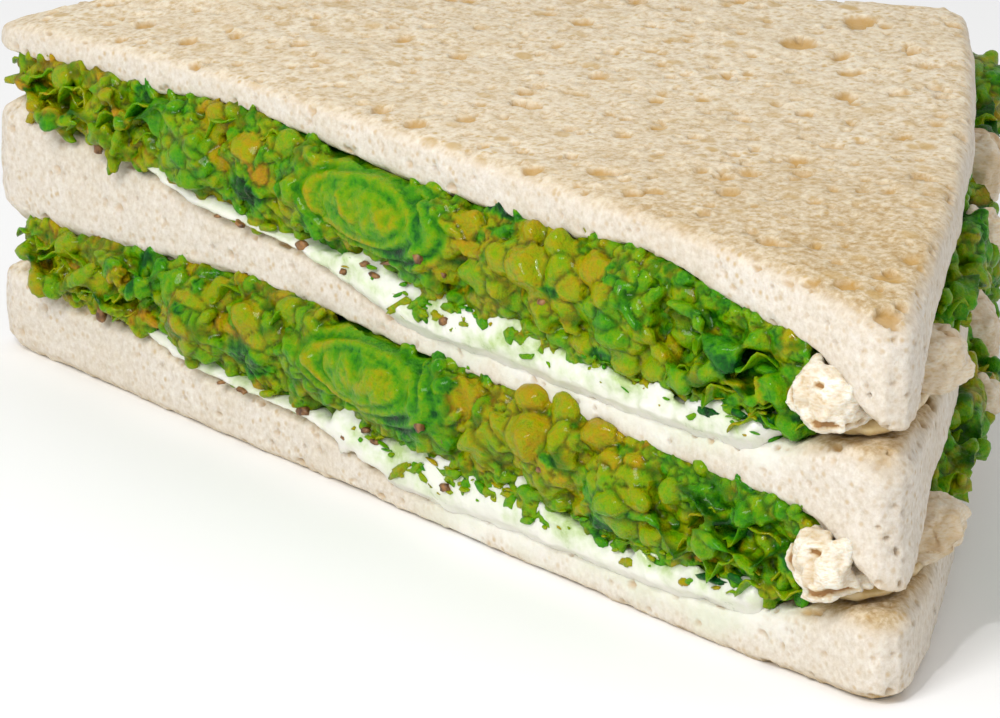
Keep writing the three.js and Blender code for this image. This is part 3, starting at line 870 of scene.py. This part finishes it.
def chicken(node, seed):
    """A torn piece of chicken, fibrous and browned, with painted shade in its crevices and hollows."""
    random = np.random.default_rng(seed)
    near = node.endswith("near")
    points, faces = node_shape(node)
    middle = points.mean(axis=0)
    corners = points[np.array([face[:3] for face in faces])]
    areas = np.linalg.norm(np.cross(corners[:, 1] - corners[:, 0], corners[:, 2] - corners[:, 0]), axis=1)
    lumps = []
    for face in random.choice(len(faces), CHICKEN_LUMPS, p=areas / areas.sum()):
        spot = random.dirichlet((1, 1, 1)) @ corners[face]
        size = random.uniform(0.8, 2.3) * random.uniform(0.6, 1.2, 3)
        centre = spot + (middle - spot) / np.linalg.norm(middle - spot) * size.mean() * 0.65
        lumps.append(Lump(centre, size, random.uniform(0, 3), random.normal(0, 0.6), random.uniform(0, 1)))
    shapes = [(points, faces)] + [lump.shape(random, 9, 0.8, 0.06) for lump in lumps]
    piece = dense(node + "_piece", shapes, CHICKEN_VOXEL, 3)
    points, normals = surface(piece)
    number, crevice = patchwork(points, lumps)
    strands = layered_noise(warped(points, 2, 0.6, seed + 5) * [1, 1, 1.7], 1.3, seed)
    slits = slit(points, middle) if near else np.zeros(len(points))
    place(piece, points + normals * (0.05 + 0.20 * strands - 0.10 * crevice - 0.35 * slits)[:, None])
    base = 0.0 if near else 0.35
    browner = np.array([lump.tone for lump in lumps] + [0])[number]
    # Brown is the chicken's own browning from the lumps' tones and the slits, and painted shade from crevices
    # and hollows
    brown = base + 0.25 * crevice + 0.3 * smoothstep(0.8, 1.0, browner) * (1 + noise(points, 1.5, seed + 2))
    brown += painted_hollow_shade(piece, 1.4, 0.7) + slits
    attribute(piece, "brown", np.clip(brown, 0, 1))
    return finish_piece(piece, "chicken", node)


# Materials
class Shader:
    """A material with one principled shader and short ways to add nodes."""

    def __init__(self, name, **constants):
        self.material = bpy.data.materials.new(name)
        self.material.use_nodes = True
        self.tree = self.material.node_tree
        self.tree.nodes.clear()
        self.output = self.tree.nodes.new("ShaderNodeOutputMaterial")
        self.principled = self.tree.nodes.new("ShaderNodeBsdfPrincipled")
        self.tree.links.new(self.principled.outputs[0], self.output.inputs["Surface"])
        for socket, value in constants.items():
            self.principled.inputs[socket.replace("_", " ")].default_value = value

    def node(self, kind, **settings):
        made = self.tree.nodes.new("ShaderNode" + kind)
        for key, value in settings.items():
            setattr(made, key, value)
        return made

    def link(self, out, into):
        self.tree.links.new(out, into)

    def attribute(self, name):
        return self.node("Attribute", attribute_name=name).outputs["Fac"]

    def object_place(self, stretch=(1, 1, 1)):
        mapping = self.node("Mapping")
        mapping.inputs["Scale"].default_value = stretch
        self.link(self.node("TexCoord").outputs["Object"], mapping.inputs["Vector"])
        return mapping.outputs["Vector"]

    def noise(self, size, detail=3.0, roughness=0.55, stretch=(1, 1, 1)):
        texture = self.node("TexNoise")
        texture.inputs["Scale"].default_value = 1 / (size * MM)
        texture.inputs["Detail"].default_value = detail
        texture.inputs["Roughness"].default_value = roughness
        self.link(self.object_place(stretch), texture.inputs["Vector"])
        return texture.outputs["Fac"]

    def cells(self, size, stretch=(1, 1, 1)):
        texture = self.node("TexVoronoi")
        texture.inputs["Scale"].default_value = 1 / (size * MM)
        self.link(self.object_place(stretch), texture.inputs["Vector"])
        return texture.outputs["Distance"]

    def ramp(self, value, *stops):
        ramp = self.node("ValToRGB")
        elements = ramp.color_ramp.elements
        while len(elements) < len(stops):
            elements.new(0.5)
        for element, (position, colour) in zip(elements, stops):
            element.position = position
            element.color = (*colour, 1)
        self.link(value, ramp.inputs["Fac"])
        return ramp.outputs["Color"]

    def remap(self, value, low, high, to_low=0.0, to_high=1.0):
        made = self.node("MapRange", clamp=True)
        for socket, number in zip(("From Min", "From Max", "To Min", "To Max"), (low, high, to_low, to_high)):
            made.inputs[socket].default_value = number
        self.link(value, made.inputs["Value"])
        return made.outputs["Result"]

    def feed(self, socket, value):
        """Sets a socket to a number or colour, or links it."""
        if isinstance(value, (int, float)):
            socket.default_value = value
        elif isinstance(value, tuple):
            socket.default_value = (*value, 1)
        else:
            self.link(value, socket)

    def maths(self, operation, a, b):
        made = self.node("Math", operation=operation)
        self.feed(made.inputs[0], a)
        self.feed(made.inputs[1], b)
        return made.outputs[0]

    def mix(self, share, a, b, blend="MIX"):
        made = self.node("Mix", data_type="RGBA", blend_type=blend)
        for index, value in ((0, share), (6, a), (7, b)):
            self.feed(made.inputs[index], value)
        return made.outputs[2]

    def set(self, socket, value):
        self.link(value, self.principled.inputs[socket])

    def bump(self, *heights):
        """Bumps from (value, distance) pairs, one on top of the other."""
        normal = None
        for value, distance in heights:
            made = self.node("Bump")
            made.inputs["Strength"].default_value = 1.0
            made.inputs["Distance"].default_value = distance * MM
            self.link(value, made.inputs["Height"])
            if normal:
                self.link(normal, made.inputs["Normal"])
            normal = made.outputs["Normal"]
        self.set("Normal", normal)


def bread_material():
    shader = Shader("white_crumb", Roughness=0.9, Specular_IOR_Level=0.2, Subsurface_Weight=0.2,
                    Subsurface_Scale=0.001, Subsurface_Radius=(1.0, 0.75, 0.45))
    broad = shader.attribute("broad")
    web = shader.maths("ADD", shader.noise(0.75, detail=6, roughness=0.68),
                       shader.remap(shader.attribute("relief"), 0.0, 1.0, -0.06, 0.06))
    grain = shader.noise(0.7, detail=4, roughness=0.7)
    patch = shader.noise(7, detail=3)
    rim = shader.ramp(
        grain, (0.3, (0.57, 0.50, 0.40)), (0.5, (0.67, 0.61, 0.53)), (0.7, (0.75, 0.71, 0.64)))
    pale = shader.ramp(
        web, (0.34, (0.54, 0.41, 0.24)), (0.48, (0.69, 0.58, 0.42)), (0.62, (0.78, 0.70, 0.55)))
    tan = shader.ramp(
        web, (0.34, (0.40, 0.25, 0.09)), (0.48, (0.52, 0.39, 0.22)), (0.64, (0.69, 0.58, 0.41)))
    crown = shader.mix(shader.attribute("brown"), pale, tan)
    ovals = shader.remap(shader.cells(4.2, stretch=(0.8, 1.2, 1)), 0.27, 0.17)
    dots = shader.remap(shader.cells(1.1), 0.34, 0.12)
    share = shader.remap(patch, 0.35, 0.65, 0.25, 0.95)
    spots = shader.maths("MULTIPLY", shader.maths("MAXIMUM", ovals, dots), share)
    crown = shader.mix(shader.maths("MULTIPLY", spots, 0.8), crown, (0.50, 0.325, 0.11))
    rim = shader.mix(shader.maths("MULTIPLY", dots, share), rim, (0.53, 0.40, 0.24))
    colour = shader.mix(broad, rim, crown)
    patches = shader.ramp(patch, (0.35, (0.95, 0.93, 0.89)), (0.65, (1.0, 1.0, 1.0)))
    colour = shader.mix(1.0, colour, patches, "MULTIPLY")
    soak = shader.ramp(patch, (0.4, (0.66, 0.68, 0.55)), (0.6, (0.77, 0.76, 0.69)))
    colour = shader.mix(shader.maths("MULTIPLY", shader.attribute("soaked"), 0.85), colour, soak)
    # Darker, ochre colour deep in the pits: partly the crumb's own colour inside the bubbles, partly painted
    # shade
    inside = shader.mix(broad, (0.56, 0.43, 0.28), (0.47, 0.28, 0.08))
    depth = shader.maths("MULTIPLY", shader.attribute("pit"), 0.85)
    shader.set("Base Color", shader.mix(depth, colour, inside))
    shader.bump((web, 0.11), (grain, 0.06))
    return shader.material


def greens_material():
    shader = Shader("crushed_avocado", Coat_Weight=0.22, Coat_Roughness=0.12, Specular_IOR_Level=0.08,
                    Specular_Tint=(0.65, 1.0, 0.06, 1), Subsurface_Weight=0.2, Subsurface_Scale=0.0008,
                    Subsurface_Radius=(0.6, 1.0, 0.15))
    mottle = shader.noise(0.9, detail=6, roughness=0.65)
    value = shader.maths("ADD", shader.attribute("tone"), shader.remap(mottle, 0.25, 0.75, -0.20, 0.20))
    colour = shader.ramp(
        value, (0.02, (0.001, 0.032, 0.010)), (0.20, (0.006, 0.120, 0.008)), (0.38, (0.052, 0.270, 0.002)),
        (0.55, (0.145, 0.320, 0.001)), (0.70, (0.255, 0.315, 0.001)), (0.85, (0.36, 0.275, 0.002)),
        (1.0, (0.44, 0.235, 0.008)))
    # Painted shade: the colour is multiplied darker where the crevice attribute is high, in crevices and
    # hollows
    dark = shader.ramp(value, (0.2, (0.12, 0.24, 0.10)), (0.6, (0.22, 0.23, 0.03)))
    painted_shade_colour = shader.mix(1.0, colour, dark, "MULTIPLY")
    shader.set("Base Color", shader.mix(shader.attribute("crevice"), colour, painted_shade_colour))
    shader.set("Roughness", shader.remap(mottle, 0.3, 0.7, 0.22, 0.42))
    shader.bump((mottle, 0.26), (shader.noise(0.45, detail=4, roughness=0.6), 0.16))
    return shader.material


def mayonnaise_material():
    shader = Shader("mayonnaise", Coat_Weight=0.3, Coat_Roughness=0.12, Subsurface_Weight=0.4,
                    Subsurface_Scale=0.0015, Subsurface_Radius=(0.9, 1.0, 0.7))
    stain = shader.noise(3.0, detail=5)
    thick = shader.ramp(
        stain, (0.34, (0.42, 0.54, 0.22)), (0.44, (0.62, 0.69, 0.47)), (0.57, (0.77, 0.78, 0.69)))
    thin = shader.ramp(stain, (0.35, (0.68, 0.69, 0.57)), (0.60, (0.76, 0.73, 0.66)))
    colour = shader.mix(shader.attribute("thin"), thick, thin)
    ochre = shader.ramp(stain, (0.35, (0.46, 0.30, 0.09)), (0.65, (0.68, 0.54, 0.30)))
    shader.set("Base Color", shader.mix(shader.attribute("ochre"), colour, ochre))
    shader.set("Roughness", shader.remap(stain, 0.3, 0.7, 0.25, 0.45))
    shader.bump((stain, 0.25), (shader.noise(0.9), 0.12))
    return shader.material


def chicken_material():
    shader = Shader("cooked_chicken", Roughness=0.45, Coat_Weight=0.15, Coat_Roughness=0.2,
                    Subsurface_Weight=0.3, Subsurface_Scale=0.0012, Subsurface_Radius=(1.0, 0.7, 0.45))
    fibre = shader.noise(0.6, detail=5, stretch=(1, 1, 2.5))
    flesh = shader.ramp(
        fibre, (0.30, (0.66, 0.53, 0.35)), (0.46, (0.78, 0.71, 0.57)), (0.60, (0.83, 0.80, 0.71)))
    # The brown attribute carries the chicken's own browning and painted shade of its crevices and hollows
    brown = shader.attribute("brown")
    browned_and_shaded = shader.ramp(brown, (0.70, (0.50, 0.32, 0.11)), (1.0, (0.30, 0.14, 0.03)))
    shader.set("Base Color", shader.mix(brown, flesh, browned_and_shaded))
    shader.bump((fibre, 0.2))
    return shader.material


def browned_material():
    shader = Shader("browned_bits", Roughness=0.45)
    colour = shader.ramp(shader.noise(0.7), (0.35, (0.06, 0.022, 0.006)), (0.65, (0.30, 0.14, 0.04)))
    shader.set("Base Color", colour)
    shader.bump((shader.noise(0.3), 0.08))
    return shader.material


# Studio
def direction(azimuth, elevation):
    """From the part towards a place in the studio. Azimuth 0 faces the cut face, 90 the near tip."""
    a, e = math.radians(azimuth), math.radians(elevation)
    return Vector((math.sin(a) * math.cos(e), -math.cos(a) * math.cos(e), math.sin(e)))


def set_up(name, data, spot, way):
    """Stands a camera or lamp at a spot, in metres, looking against way."""
    holder = bpy.data.objects.new(name, data)
    holder.location = spot
    holder.rotation_euler = (-way).to_track_quat("-Z", "Y").to_euler()
    bpy.context.scene.collection.objects.link(holder)
    return holder


def camera():
    back = direction(CAMERA_AZIMUTH, CAMERA_ELEVATION)
    right = direction(CAMERA_AZIMUTH + 90, 0)
    data = bpy.data.cameras.new("camera")
    data.lens = CAMERA_LENS
    data.sensor_width = SENSOR_WIDTH
    data.clip_start = 0.01
    spot = (CAMERA_TARGET + right * CAMERA_ACROSS + back * CAMERA_DISTANCE) * MM
    bpy.context.scene.camera = set_up("camera", data, spot, back)


def area_light(name, azimuth, elevation, distance, size, power):
    way = direction(azimuth, elevation)
    data = bpy.data.lights.new(name, "AREA")
    data.shape = "DISK"
    data.size = size
    data.energy = power
    set_up(name, data, way * distance, way)


def studio():
    world = bpy.data.worlds.new("studio")
    world.use_nodes = True
    background = world.node_tree.nodes["Background"]
    background.inputs["Color"].default_value = (1, 1, 1, 1)
    background.inputs["Strength"].default_value = WORLD_STRENGTH
    bpy.context.scene.world = world
    bpy.context.scene.view_settings.view_transform = "Standard"
    for lamp in LAMPS:
        area_light(*lamp)
    corners = [(x * FLOOR_HALF, y * FLOOR_HALF, 0) for x, y in ((-1, -1), (1, -1), (1, 1), (-1, 1))]
    floor = new_piece("floor", (corners, [(0, 1, 2, 3)]))
    shader = Shader("pale_floor", Roughness=0.9)
    colour = shader.ramp(shader.noise(400), (0.3, (0.92, 0.92, 0.92)), (0.7, (0.94, 0.94, 0.94)))
    shader.set("Base Color", colour)
    floor.data.materials.append(shader.material)


BALL = unit_ball(2)
FINE_BALL = unit_ball(3)
MATERIALS = {
    "bread": bread_material(),
    "avocado_greens": greens_material(),
    "mayonnaise": mayonnaise_material(),
    "chicken": chicken_material(),
    "browned": browned_material(),
}

camera()
studio()
gaps = {layer: Gap(layer) for layer in LAYERS}
over = {below: gaps[layer] for layer, (below, _) in LAYERS.items()}
for number, name in enumerate(SLICES):
    bread_slice(name, SEED + 100 * number, over.get(name))
for number, (layer, gap) in enumerate(gaps.items()):
    greens(layer, gap, SEED + 7 * number)
    leaves(layer, gap, SEED + 30 + number)
    mayonnaise(layer, gap, SEED + 50 + number)
    chips(layer, gap, SEED + 70 + number)
    specks(layer, gap, SEED + 90 + number)
for number, name in enumerate(sorted(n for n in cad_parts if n.startswith("chicken"))):
    chicken(name, SEED + 200 + number)
